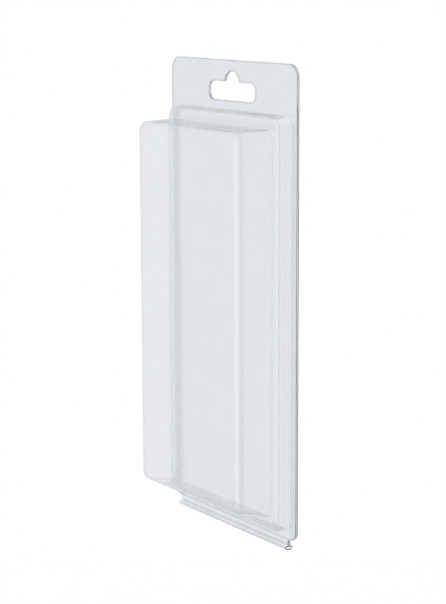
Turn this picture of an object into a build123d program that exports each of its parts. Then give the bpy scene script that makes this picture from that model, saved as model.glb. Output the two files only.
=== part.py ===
from build123d import *
from math import cos, radians, tan
import os

# Clear clamshell pack, shut. Sizes are in millimetres.
# The origin is where a peg bears in the hang slot, midway between the two flanges.
# X runs to the pack's right, Y to its back and Z up.

# Sheet and flanges
sheet = 0.4
flange_gap = 0.3
pack_width = 86.5
pack_height = 185.0
top_corner = 5.2
foot_corner = 4.0

# Hang slot, a slot with a rounded bump over its middle
slot_width = 32.0
slot_height = 7.4
slot_corner = 3.0
bump_radius = 5.0
bump_rise = 4.3
bump_blend = 0.8
slot_margin = 4.2

# Closure ring, formed forward out of the front flange
hang_tab = 19.2
ring_side_margin = 4.2
ring_foot_margin = 2.7
ring_depth = 5.5
ring_draft = 6.5
ring_corner = 5.0
ring_edge = 1.6

# Blister, formed forward out of the ring's land
land_side = 2.5
land_top = 4.7
land_foot = 5.5
blister_depth = 16.5
blister_side_draft = 0.6
blister_top_draft = 2.0
blister_foot_draft = 10.0
blister_corner = 4.0
blister_edge = 3.4
blister_root = 0.6

# Plug of the back half, which nests in the ring
plug_clearance = 0.3
plug_depth = 4.6
plug_edge = 1.5

# Bends where the ring and the plug leave their flanges
root_bend = 0.6

# Hinge: webs below the flanges, ledges turned outward, and a bead between two creases
foot_flat = 1.0
web_drop = 2.65
notch_radius = 0.8
crease_reach = 1.75
ledge_bend = 0.6
bead_drop = 1.2
bead_gauge = 0.4
crease_clearance = 0.1

# How near a face or a corner has to lie to the place it is picked by
pick_slack = 0.01

# Places worked out from the sizes
flange_top = slot_margin
flange_foot = flange_top - pack_height
front_face_y = -(flange_gap / 2 + sheet)
rear_face_y = flange_gap / 2 + sheet
land_y = front_face_y - ring_depth
plug_front_y = flange_gap / 2 - plug_depth
web_half_width = pack_width / 2 - foot_corner - foot_flat
crease_z = flange_foot - web_drop - sheet
slot_z = -bump_rise - slot_height / 2
ring_middle = sheet / 2
plug_middle = sheet + plug_clearance + sheet / 2


def front_plane(y, z):
    """Plane across the pack at depth y that looks to the front."""
    return Plane(origin=(0, y, z), x_dir=(1, 0, 0), z_dir=(0, -1, 0))


def ring_outline(y, inset):
    """Half width, foot and top of the ring's wall at depth y, moved in by inset."""
    draft_angle = radians(ring_draft)
    narrowing = (front_face_y - y) * tan(draft_angle) + inset / cos(draft_angle)
    half_width = pack_width / 2 - ring_side_margin - narrowing
    foot = flange_foot + ring_foot_margin + narrowing
    top = flange_top - hang_tab - narrowing
    return half_width, foot, top


def near(shapes, axis, place):
    """Those of the shapes that lie at a place along an axis."""
    return shapes.filter_by_position(axis, place - pick_slack, place + pick_slack)


def largest_face(shell, y):
    """Largest flat face of the shell at depth y."""
    return near(shell.faces(), Axis.Y, y).sort_by(SortBy.AREA)[-1]


def runs_forward(edge):
    """Whether an edge runs more to the front than across or up."""
    direction = edge.tangent_at()
    return abs(direction.Y) > max(abs(direction.X), abs(direction.Z))


def drafted_block(outline, base_y, front_y, drafts, corner):
    """Block that stands on base_y and narrows forward to front_y, with round corners."""
    half_width, foot, top = outline
    side_draft, top_draft, foot_draft = drafts
    base = front_plane(base_y, (foot + top) / 2)
    with BuildPart() as block:
        with BuildSketch(base):
            Rectangle(2 * half_width, top - foot)
        extrude(amount=base_y - front_y)
        draft(block.faces().filter_by(Axis.X), base, side_draft)
        draft(block.faces().sort_by(Axis.Z)[-1], base, top_draft)
        draft(block.faces().sort_by(Axis.Z)[0], base, foot_draft)
        fillet(block.edges().filter_by(runs_forward), corner)
    return block.part


def hang_slot():
    """Hang slot's outline, with its bump's top on the origin."""
    with BuildSketch() as slot:
        with Locations((0, slot_z)):
            RectangleRounded(slot_width, slot_height, slot_corner)
        with Locations((0, -bump_radius)):
            Circle(bump_radius)
        shoulders = near(slot.vertices(), Axis.Y, -bump_rise)
        fillet(shoulders.filter_by_position(Axis.X, -bump_radius, bump_radius), bump_blend)
    return slot.sketch


def flange_plate(y, inset):
    """Flange and hinge web in one outline, with the hang slot and a mouth for the formed part."""
    half_width, foot, top = ring_outline(y, inset)
    with BuildSketch() as plate:
        with Locations((0, flange_foot + pack_height / 2)):
            Rectangle(pack_width, pack_height)
        fillet(plate.vertices().group_by(Axis.Y)[-1], top_corner)
        fillet(plate.vertices().group_by(Axis.Y)[0], foot_corner)
        with Locations((0, crease_z)):
            Rectangle(2 * web_half_width, flange_foot - crease_z, align=(Align.CENTER, Align.MIN))
        web_roots = near(plate.vertices(), Axis.Y, flange_foot).sort_by_distance((0, flange_foot))[:2]
        fillet(web_roots, notch_radius)
        with Locations((0, (foot + top) / 2)):
            RectangleRounded(2 * half_width, top - foot, ring_corner - inset, mode=Mode.SUBTRACT)
        add(hang_slot(), mode=Mode.SUBTRACT)
    return plate.sketch


def formed_bends(shell, flange_y, radius):
    """Round the bend where the formed wall leaves the flange face at depth flange_y."""
    face = largest_face(shell, flange_y)
    fillet(face.inner_wires().sort_by(SortBy.LENGTH)[-1].edges(), radius)


def hinge_ledge(side):
    """Ledge at the web's foot, turned out to the crease on the given side of the parting plane."""
    inner_y = side * flange_gap / 2
    outer_y = side * crease_reach
    with BuildPart() as ledge:
        with BuildSketch(Plane.YZ):
            with BuildLine():
                Polyline((inner_y, flange_foot), (inner_y, crease_z), (outer_y, crease_z),
                         (outer_y, crease_z + sheet), (inner_y + side * sheet, crease_z + sheet),
                         (inner_y + side * sheet, flange_foot), close=True)
            make_face()
        extrude(amount=web_half_width, both=True)
        heel = ledge.edges().filter_by(Axis.X).group_by(Axis.Z)[0].sort_by(Axis.Y)
        fillet(heel[-1] if side < 0 else heel[0], ledge_bend)
    return ledge.part


ring_drafts = (ring_draft, ring_draft, ring_draft)
ring_block = drafted_block(ring_outline(-flange_gap / 2, 0), -flange_gap / 2, land_y,
                           ring_drafts, ring_corner)

ring_half_width, ring_foot, ring_top = ring_outline(land_y, 0)
blister_outline = (ring_half_width - land_side, ring_foot + land_foot, ring_top - land_top)
blister_front_y = land_y - blister_depth
blister_drafts = (blister_side_draft, blister_top_draft, blister_foot_draft)
blister_block = drafted_block(blister_outline, land_y, blister_front_y, blister_drafts, blister_corner)

with BuildPart() as front_shell:
    add(ring_block)
    add(blister_block)
    fillet(front_shell.faces().sort_by(Axis.Y)[0].edges(), blister_edge)
    land = largest_face(front_shell, land_y)
    fillet(land.outer_wire().edges(), ring_edge)
    land = largest_face(front_shell, land_y)
    fillet(land.inner_wires()[0].edges(), blister_root)
    offset(amount=-sheet, openings=front_shell.faces().sort_by(Axis.Y)[-1])
    with BuildSketch(front_plane(-flange_gap / 2, 0)):
        add(flange_plate(front_face_y + sheet / 2, ring_middle))
    extrude(amount=sheet)
    formed_bends(front_shell, front_face_y, root_bend)
    formed_bends(front_shell, -flange_gap / 2, root_bend + sheet)
    add(hinge_ledge(-1))

front_shell.part.label = "front_shell"

plug_outline = ring_outline(rear_face_y, sheet + plug_clearance)
plug_block = drafted_block(plug_outline, rear_face_y, plug_front_y, ring_drafts,
                           ring_corner - sheet - plug_clearance)

with BuildPart() as back_shell:
    add(plug_block)
    fillet(back_shell.faces().sort_by(Axis.Y)[0].edges(), plug_edge)
    offset(amount=-sheet, openings=back_shell.faces().sort_by(Axis.Y)[-1])
    with BuildSketch(front_plane(rear_face_y, 0)):
        add(flange_plate(rear_face_y - sheet / 2, plug_middle))
    extrude(amount=sheet)
    formed_bends(back_shell, flange_gap / 2, root_bend)
    formed_bends(back_shell, rear_face_y, root_bend + sheet)
    add(hinge_ledge(1))

back_shell.part.label = "back_shell"

bead_z = crease_z - crease_clearance
bead_outer = crease_reach + bead_gauge / 2
bead_inner = crease_reach - bead_gauge / 2

with BuildPart() as hinge_bead:
    with BuildSketch(Plane.YZ):
        with BuildLine():
            ThreePointArc((-bead_outer, bead_z), (0, bead_z - bead_drop), (bead_outer, bead_z))
            Line((bead_outer, bead_z), (bead_inner, bead_z))
            ThreePointArc((bead_inner, bead_z), (0, bead_z - bead_drop + bead_gauge),
                          (-bead_inner, bead_z))
            Line((-bead_inner, bead_z), (-bead_outer, bead_z))
        make_face()
    extrude(amount=web_half_width, both=True)

hinge_bead.part.label = "hinge_bead"

os.makedirs("parts", exist_ok=True)
export_step(front_shell.part, "parts/front_shell.step")
export_step(back_shell.part, "parts/back_shell.step")
export_step(hinge_bead.part, "parts/hinge_bead.step")
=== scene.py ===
import math

import bpy
from mathutils import Matrix, Vector

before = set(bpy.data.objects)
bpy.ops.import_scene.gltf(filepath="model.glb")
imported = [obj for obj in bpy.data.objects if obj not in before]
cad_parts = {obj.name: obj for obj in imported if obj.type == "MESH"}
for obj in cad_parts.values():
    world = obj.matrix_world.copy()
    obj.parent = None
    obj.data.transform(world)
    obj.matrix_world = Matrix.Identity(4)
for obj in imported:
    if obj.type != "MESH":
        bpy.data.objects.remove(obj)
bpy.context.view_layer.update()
scene = bpy.context.scene

# Lengths are in metres. Azimuths are in degrees, from the pack's front (-Y) round to its right (+X).

# Camera: its place, its azimuth, pitch and roll, its focal length in the photograph's pixels, and its
# sensor's height in millimetres
CAMERA_PLACE = Vector((0.5907, -0.4044, 0.0395))
CAMERA_TURN = (55.93, 10.40, -0.206)
FOCAL_PIXELS = 1819.1
PHOTO_HEIGHT = 604
SENSOR_HEIGHT = 36.0
CLIP_START = 0.01

# How often a ray may be bent or reflected in the nested sheets before it is dropped
LIGHT_BOUNCES = 48

# Studio that reflections show: its usual shade, and panels round it. A panel has its azimuth, half its
# width without and with its soft rim, its lowest and highest elevation, and its shade.
STUDIO_BASE = (0.62, 0.65, 0.68, 1)
STUDIO_PANELS = (
    (8, 19, 28, -60, 50, (1.85, 1.85, 1.85, 1)),
    (80, 34, 42, -60, 50, (0.03, 0.03, 0.03, 1)),
)

# Pale backdrop seen through the plastic, and two darker beams that only its inner reflections see
BACKDROP = (0.857, 0.862, 0.880, 1)
BACKDROP_BEAMS = (
    (200, 37.2, 38.2, 6.3, 8.6, (0.54, 0.55, 0.57, 1)),
    (200, 37.2, 38.2, 10.2, 13.8, (0.26, 0.27, 0.29, 1)),
)

# Height of a panel's or a beam's soft rim, in degrees
PANEL_RIM = 0.8

# White of the floor, of the background that the camera sees, and of the light on matt surfaces
WHITE = (1, 1, 1, 1)

# Pale floor, below the pack's open front half
FLOOR_HEIGHT = -0.5
FLOOR_RADIUS = 0.9
FLOOR_CORNERS = 96

# Sheet of each half: the two tints that vary over its flats, the tint of its drawn walls, the painted
# shade of its bends, darker than the walls on the front sheet, and its lowest and highest roughness
FRONT_SHEET = {
    "flat_tints": ((1.0, 0.99, 1.0, 1), (0.988, 1.0, 1.0, 1)),
    "wall_tint": (0.985, 0.990, 1.0, 1),
    "painted_bend_shade": (0.935, 0.94, 0.95, 1),
    "roughness": (0.05, 0.10),
}
BACK_SHEET = {
    "flat_tints": ((0.925, 0.943, 0.958, 1), (0.91, 0.95, 0.962, 1)),
    "wall_tint": (0.975, 0.985, 0.995, 1),
    "painted_bend_shade": (0.975, 0.985, 0.995, 1),
    "roughness": (0.08, 0.13),
}

# Strips beside the ring and rims along the cut edges, both darker as painted shade; roughness of the
# cut faces and of the blister's root
STRIP_PAINTED_SHADE = (0.925, 0.93, 0.925, 1)
CUT_RIM_PAINTED_SHADE = (0.86, 0.87, 0.88, 1)
CUT_ROUGHNESS = (0.25, 0.6)
ROOT_ROUGHNESS = 0.17

# Plastic inside, with its absorption's density for each metre of path
PLASTIC_IOR = 1.57
ABSORPTION_DENSITY = 14.0
ABSORPTION_TINT = (0.36, 0.42, 0.48, 1)

# Noise over the sheet: its scale and detail in each use, and the values that it mostly keeps to
TINT_GRAIN = (45.0, 2.0)
GLOSS_GRAIN = (140.0, 6.0)
CUT_GRAIN = (25.0, 1.0)
WAVE_GRAIN = (1.0, 1.0)
NOISE_RANGE = (0.3, 0.7)

# Waves that forming leaves in the sheet: how many a metre along X, Y and Z, and how high
WAVES = (130.0, 130.0, 16.0)
WAVE_HEIGHT = 0.00002

# Cut outlines of the flange and of the hang slot with its bump: half width, half height, corner and
# middle height
FLANGE_OUTLINE = (0.04325, 0.0925, 0.005, -0.0883)
SLOT_OUTLINE = (0.016, 0.0037, 0.003, -0.008)
BUMP_OUTLINE = (0.005, 0.005, 0.005, -0.005)

# Ramps that tell the parts of the sheet, each as the values where it is 0 and where it is 1. Depth is
# the distance from the parting plane. Flatness is 1 where the sheet faces the front or the back.
RIM_DISTANCE = (0.0006, 0.0003)
FLANGE_DEPTH = (0.000588, 0.00056)
FLANGE_FOOT = (-0.1813, -0.1808)
STRIP_SIDE = (0.0388, 0.0393)
STRIP_TOP = (-0.015, -0.021)
CUT_TO_FLAT = (0.1, 0.2)
WALL_TO_FLAT = (0.5, 0.95)
BEND_FROM_WALL = (0.18, 0.3)
BEND_FROM_FLAT = (0.6, 0.4)
ROOT_FROM_LAND = (0.00602, 0.00608)
ROOT_FROM_WALL = (0.00665, 0.00653)
ROOT_FLATNESS = (0.03, 0.1)


def node(tree, kind, **settings):
    """New shader node with its settings and, by name, its input values."""
    made = tree.nodes.new(kind)
    for name, value in settings.items():
        if name in made.inputs:
            made.inputs[name].default_value = value
        else:
            setattr(made, name, value)
    return made


def new_material(name):
    """Node material with an empty tree and its output."""
    material = bpy.data.materials.new(name)
    material.use_nodes = True
    material.node_tree.nodes.clear()
    output = node(material.node_tree, "ShaderNodeOutputMaterial")
    return material, material.node_tree, output


def maths(tree, operation, first, second=0.0):
    """Output of a maths node whose inputs are numbers or other nodes' outputs."""
    made = node(tree, "ShaderNodeMath", operation=operation)
    for slot, value in zip(made.inputs, (first, second)):
        if isinstance(value, (int, float)):
            slot.default_value = value
        else:
            tree.links.new(value, slot)
    return made.outputs["Value"]


def vector_maths(tree, operation, vector, fixed=(0, 0, 0)):
    """Output of a vector maths node on another node's vector and a fixed one."""
    made = node(tree, "ShaderNodeVectorMath", operation=operation)
    tree.links.new(vector, made.inputs[0])
    made.inputs[1].default_value = fixed
    return made.outputs["Value" if operation == "DOT_PRODUCT" else "Vector"]


def product(tree, *values):
    """Output of several values multiplied."""
    result = values[0]
    for value in values[1:]:
        result = maths(tree, "MULTIPLY", result, value)
    return result


def ramp(tree, value, start, end):
    """0 where a value is at start and 1 where it is at end, smooth between."""
    made = node(tree, "ShaderNodeMapRange", interpolation_type="SMOOTHSTEP")
    made.inputs["From Min"].default_value = min(start, end)
    made.inputs["From Max"].default_value = max(start, end)
    made.inputs["To Min"].default_value = 0.0 if start < end else 1.0
    made.inputs["To Max"].default_value = 1.0 if start < end else 0.0
    tree.links.new(value, made.inputs["Value"])
    return made.outputs["Result"]


def is_colour(value):
    """Whether a value is a colour or a node's colour output."""
    return isinstance(value, tuple) or getattr(value, "type", "") == "RGBA"


def mixed(tree, factor, first, second):
    """Output that goes from the first to the second colour, or number, with a factor."""
    colours = is_colour(first) or is_colour(second)
    made = node(tree, "ShaderNodeMix", data_type="RGBA" if colours else "FLOAT")
    tree.links.new(factor, made.inputs[0])
    # A mix node has a set of sockets for each data type, with numbers ahead of colours
    places = (6, 7) if colours else (2, 3)
    for place, value in zip(places, (first, second)):
        if isinstance(value, (int, float, tuple)):
            made.inputs[place].default_value = value
        else:
            tree.links.new(value, made.inputs[place])
    return made.outputs[2 if colours else 0]


def noise(tree, vector, grain, low, high):
    """Noise over the object, spread from low to high."""
    scale, detail = grain
    texture = node(tree, "ShaderNodeTexNoise", Scale=scale, Detail=detail)
    tree.links.new(vector, texture.inputs["Vector"])
    spread = node(tree, "ShaderNodeMapRange")
    spread.inputs["From Min"].default_value = NOISE_RANGE[0]
    spread.inputs["From Max"].default_value = NOISE_RANGE[1]
    spread.inputs["To Min"].default_value = low
    spread.inputs["To Max"].default_value = high
    tree.links.new(texture.outputs["Fac"], spread.inputs["Value"])
    return spread.outputs["Result"]


def outline_distance(tree, across, height, outline):
    """Distance outside an upright rectangle with round corners, below 0 inside it."""
    half_width, half_height, corner, middle = outline
    side = maths(tree, "SUBTRACT", maths(tree, "ABSOLUTE", across), half_width - corner)
    rise = maths(tree, "ABSOLUTE", maths(tree, "SUBTRACT", height, middle))
    rise = maths(tree, "SUBTRACT", rise, half_height - corner)
    outer_side = maths(tree, "MAXIMUM", side, 0.0)
    outer_rise = maths(tree, "MAXIMUM", rise, 0.0)
    squares = maths(tree, "ADD", maths(tree, "MULTIPLY", outer_side, outer_side),
                    maths(tree, "MULTIPLY", outer_rise, outer_rise))
    outside = maths(tree, "SQRT", squares)
    inside = maths(tree, "MINIMUM", maths(tree, "MAXIMUM", side, rise), 0.0)
    return maths(tree, "SUBTRACT", maths(tree, "ADD", outside, inside), corner)


def cut_line_distance(tree, across, height):
    """Distance from the nearest cut outline, on either side of it."""
    slot = maths(tree, "MINIMUM", outline_distance(tree, across, height, SLOT_OUTLINE),
                 outline_distance(tree, across, height, BUMP_OUTLINE))
    flange = outline_distance(tree, across, height, FLANGE_OUTLINE)
    return maths(tree, "MINIMUM", maths(tree, "ABSOLUTE", slot), maths(tree, "ABSOLUTE", flange))


def sheet_parts(tree, place):
    """Masks that tell the parts of the sheet: each is 1 on its part and 0 elsewhere."""
    spot = node(tree, "ShaderNodeSeparateXYZ")
    tree.links.new(place.outputs["Object"], spot.inputs["Vector"])
    faces = node(tree, "ShaderNodeSeparateXYZ")
    tree.links.new(place.outputs["Normal"], faces.inputs["Vector"])
    across, height = spot.outputs["X"], spot.outputs["Z"]
    side = maths(tree, "ABSOLUTE", across)
    depth = maths(tree, "ABSOLUTE", spot.outputs["Y"])
    flatness = maths(tree, "ABSOLUTE", faces.outputs["Y"])

    # Flanges, with the rims and faces of their cuts and the strips beside the ring
    flange = product(tree, ramp(tree, depth, *FLANGE_DEPTH), ramp(tree, height, *FLANGE_FOOT))
    flat = ramp(tree, flatness, *CUT_TO_FLAT)
    near_cut = ramp(tree, cut_line_distance(tree, across, height), *RIM_DISTANCE)
    beside_ring = product(tree, ramp(tree, side, *STRIP_SIDE), ramp(tree, height, *STRIP_TOP))

    # Bends between walls and flats, and the bend at the blister's root
    bend = product(tree, ramp(tree, flatness, *BEND_FROM_WALL), ramp(tree, flatness, *BEND_FROM_FLAT))
    root = product(tree, ramp(tree, depth, *ROOT_FROM_LAND), ramp(tree, depth, *ROOT_FROM_WALL),
                   ramp(tree, flatness, *ROOT_FLATNESS))
    return {
        "flats": ramp(tree, flatness, *WALL_TO_FLAT),
        "rim": product(tree, near_cut, flange, flat),
        "cut_face": product(tree, maths(tree, "SUBTRACT", 1.0, flat), flange),
        "strip": product(tree, beside_ring, flange, flat),
        "bend": bend,
        "root": root,
    }


def clear_plastic(name, flat_tints, wall_tint, painted_bend_shade, roughness):
    """Clear glossy formed sheet: drawn walls clearer than flats, rough cut faces, and painted shade on
    its bends, its cut rims and the strips beside the ring.
    """
    material, tree, output = new_material(name)
    link = tree.links.new
    place = node(tree, "ShaderNodeTexCoord")
    over_sheet = place.outputs["Object"]
    parts = sheet_parts(tree, place)
    shader = node(tree, "ShaderNodeBsdfPrincipled", IOR=PLASTIC_IOR)
    shader.inputs["Transmission Weight"].default_value = 1.0

    flat_tint = mixed(tree, noise(tree, over_sheet, TINT_GRAIN, 0.0, 1.0), *flat_tints)
    tint = mixed(tree, parts["flats"], wall_tint, flat_tint)
    # Bends darkened: painted shade of the dark lines that bends show in clear sheet
    tint = mixed(tree, parts["bend"], tint, painted_bend_shade)
    # Strips beside the ring darkened: painted shade from the ring and the blister beside them
    tint = mixed(tree, parts["strip"], tint, STRIP_PAINTED_SHADE)
    # Rims along the cut lines darkened: painted shade of the dark lines at cut edges
    link(mixed(tree, parts["rim"], tint, CUT_RIM_PAINTED_SHADE), shader.inputs["Base Color"])

    gloss = noise(tree, over_sheet, GLOSS_GRAIN, *roughness)
    gloss = mixed(tree, parts["root"], gloss, ROOT_ROUGHNESS)
    worn_cut = noise(tree, over_sheet, CUT_GRAIN, *CUT_ROUGHNESS)
    link(mixed(tree, parts["cut_face"], gloss, worn_cut), shader.inputs["Roughness"])

    drawn_out = vector_maths(tree, "MULTIPLY", over_sheet, WAVES)
    waves = node(tree, "ShaderNodeBump", Strength=1.0, Distance=WAVE_HEIGHT)
    link(noise(tree, drawn_out, WAVE_GRAIN, 0.0, 1.0), waves.inputs["Height"])
    link(waves.outputs["Normal"], shader.inputs["Normal"])

    link(shader.outputs["BSDF"], output.inputs["Surface"])
    inside = node(tree, "ShaderNodeVolumeAbsorption", Color=ABSORPTION_TINT, Density=ABSORPTION_DENSITY)
    link(inside.outputs["Volume"], output.inputs["Volume"])
    return material


def facing(tree, level, azimuth, inner, outer):
    """1 where a level direction is within inner degrees of an azimuth, falling to 0 at outer."""
    turn = math.radians(azimuth)
    nearness = vector_maths(tree, "DOT_PRODUCT", level, (math.sin(turn), -math.cos(turn), 0))
    return ramp(tree, nearness, math.cos(math.radians(outer)), math.cos(math.radians(inner)))


def between(tree, rise, low, high):
    """1 where a direction's rise is between two elevations, falling softly to 0 outside them."""
    edges = (low - PANEL_RIM, low, high + PANEL_RIM, high)
    below, lowest, above, highest = [math.sin(math.radians(edge)) for edge in edges]
    return product(tree, ramp(tree, rise, below, lowest), ramp(tree, rise, above, highest))


def panelled(tree, level, rise, base, panels, shown=1.0):
    """Colour of a surround in a direction: its base, covered by its panels in turn where shown."""
    colour = base
    for azimuth, inner, outer, low, high, shade in panels:
        cover = product(tree, facing(tree, level, azimuth, inner, outer),
                        between(tree, rise, low, high), shown)
        colour = mixed(tree, cover, colour, shade)
    return colour


def studio_world():
    """White behind the pack, a pale backdrop through it, and a soft studio in its reflections."""
    world = bpy.data.worlds.new("studio")
    scene.world = world
    world.use_nodes = True
    tree = world.node_tree
    tree.nodes.clear()
    output = node(tree, "ShaderNodeOutputWorld")
    path = node(tree, "ShaderNodeLightPath")
    place = node(tree, "ShaderNodeTexCoord")
    direction = place.outputs["Generated"]
    level = vector_maths(tree, "NORMALIZE", vector_maths(tree, "MULTIPLY", direction, (1, 1, 0)))
    split = node(tree, "ShaderNodeSeparateXYZ")
    tree.links.new(direction, split.inputs["Vector"])
    rise = split.outputs["Z"]
    studio = panelled(tree, level, rise, STUDIO_BASE, STUDIO_PANELS)
    reflected = maths(tree, "MINIMUM", path.outputs["Glossy Depth"], 1.0)
    backdrop = panelled(tree, level, rise, BACKDROP, BACKDROP_BEAMS, reflected)
    shade = mixed(tree, path.outputs["Is Glossy Ray"], WHITE, studio)
    shade = mixed(tree, path.outputs["Is Transmission Ray"], shade, backdrop)
    background = node(tree, "ShaderNodeBackground", Strength=1.0)
    tree.links.new(shade, background.inputs["Color"])
    tree.links.new(background.outputs["Background"], output.inputs["Surface"])


def make_camera():
    """Camera at the photograph's viewing angle, unshifted."""
    azimuth, pitch, roll = [math.radians(angle) for angle in CAMERA_TURN]
    back = Vector((math.sin(azimuth) * math.cos(pitch), -math.cos(azimuth) * math.cos(pitch),
                   math.sin(pitch)))
    right = Vector((math.cos(azimuth), math.sin(azimuth), 0))
    up = back.cross(right)
    rolled_right = math.cos(roll) * right + math.sin(roll) * up
    rolled_up = math.cos(roll) * up - math.sin(roll) * right
    camera = bpy.data.cameras.new("camera")
    camera.sensor_fit = "VERTICAL"
    camera.sensor_height = SENSOR_HEIGHT
    camera.lens = FOCAL_PIXELS * SENSOR_HEIGHT / PHOTO_HEIGHT
    camera.clip_start = CLIP_START
    holder = bpy.data.objects.new("camera", camera)
    scene.collection.objects.link(holder)
    turn = Matrix((rolled_right, rolled_up, back)).transposed()
    holder.matrix_world = Matrix.Translation(CAMERA_PLACE) @ turn.to_4x4()
    scene.camera = holder


def pale_floor():
    """Floor below the pack: white, and the studio's shades in glossy rays and through the plastic."""
    turns = [2 * math.pi * corner / FLOOR_CORNERS for corner in range(FLOOR_CORNERS)]
    corners = [(FLOOR_RADIUS * math.cos(turn), FLOOR_RADIUS * math.sin(turn), FLOOR_HEIGHT)
               for turn in turns]
    mesh = bpy.data.meshes.new("pale_floor")
    mesh.from_pydata(corners, [], [range(FLOOR_CORNERS)])
    floor = bpy.data.objects.new("pale_floor", mesh)
    scene.collection.objects.link(floor)
    material, tree, output = new_material("pale_floor")
    link = tree.links.new
    path = node(tree, "ShaderNodeLightPath")
    glossy, through = path.outputs["Is Glossy Ray"], path.outputs["Is Transmission Ray"]
    matt = node(tree, "ShaderNodeBsdfDiffuse", Color=WHITE)
    glow = node(tree, "ShaderNodeEmission", Strength=1.0)
    link(mixed(tree, through, STUDIO_BASE, BACKDROP), glow.inputs["Color"])
    chosen = node(tree, "ShaderNodeMixShader")
    link(maths(tree, "MINIMUM", maths(tree, "ADD", glossy, through), 1.0), chosen.inputs["Fac"])
    link(matt.outputs["BSDF"], chosen.inputs[1])
    link(glow.outputs["Emission"], chosen.inputs[2])
    link(chosen.outputs["Shader"], output.inputs["Surface"])
    mesh.materials.append(material)


make_camera()
studio_world()
pale_floor()

scene.cycles.max_bounces = LIGHT_BOUNCES
scene.cycles.transmission_bounces = LIGHT_BOUNCES
scene.cycles.glossy_bounces = LIGHT_BOUNCES
scene.cycles.transparent_max_bounces = LIGHT_BOUNCES
scene.view_settings.view_transform = "Standard"

front_plastic = clear_plastic("clear_plastic", **FRONT_SHEET)
back_plastic = clear_plastic("clear_plastic_back", **BACK_SHEET)
for name, cad_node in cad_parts.items():
    cad_node.data.materials.clear()
    cad_node.data.materials.append(back_plastic if name == "back_shell" else front_plastic)
